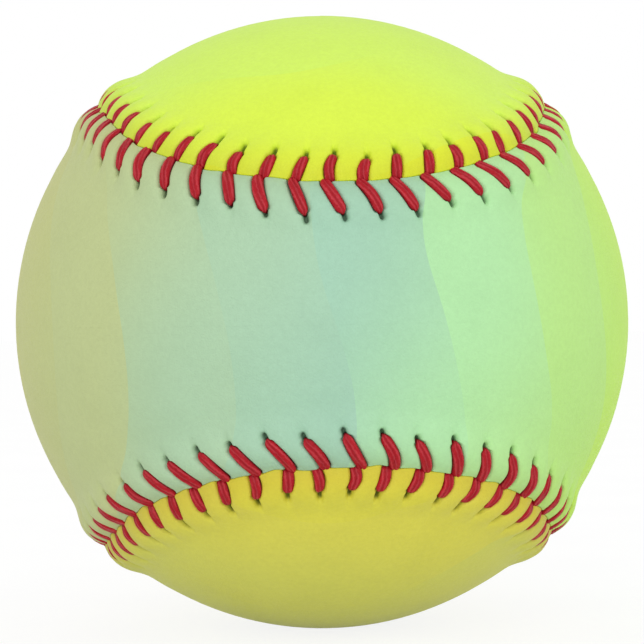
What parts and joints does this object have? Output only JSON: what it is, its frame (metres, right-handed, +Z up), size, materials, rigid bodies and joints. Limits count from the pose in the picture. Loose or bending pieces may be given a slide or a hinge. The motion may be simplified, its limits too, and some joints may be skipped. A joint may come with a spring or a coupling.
{
  "type": "softball",
  "caption": "Round bat-and-ball sports ball: a wound cork core under figure-eight leather covers sewn with raised V stitches",
  "frame": {"origin": "centre of the ball", "axes": "+Z up; -Y points out through the middle of the front panel's waist, +Y out through the middle of the rear panel's waist; the front panel's lobes lie round -X and +X, the rear panel's round -Z and +Z"},
  "size_m": [0.097, 0.097, 0.097],
  "materials": {
    "cork": "matt pressed cork and rubber",
    "yarn": "matt wound yarn",
    "cement": "matt dried latex cement",
    "front_leather": "fine-grained, soft satin",
    "rear_leather": "fine-grained, soft satin",
    "thread_one": "waxed twisted thread",
    "thread_two": "waxed twisted thread"
  },
  "bodies": {
    "root": {"core": "cork", "yarn_winding": "yarn", "cement_coat": "cement", "front_cover": "front_leather", "rear_cover": "rear_leather", "stitching_thread_one": "thread_one", "stitching_thread_two": "thread_two"}
  },
  "joints": []
}
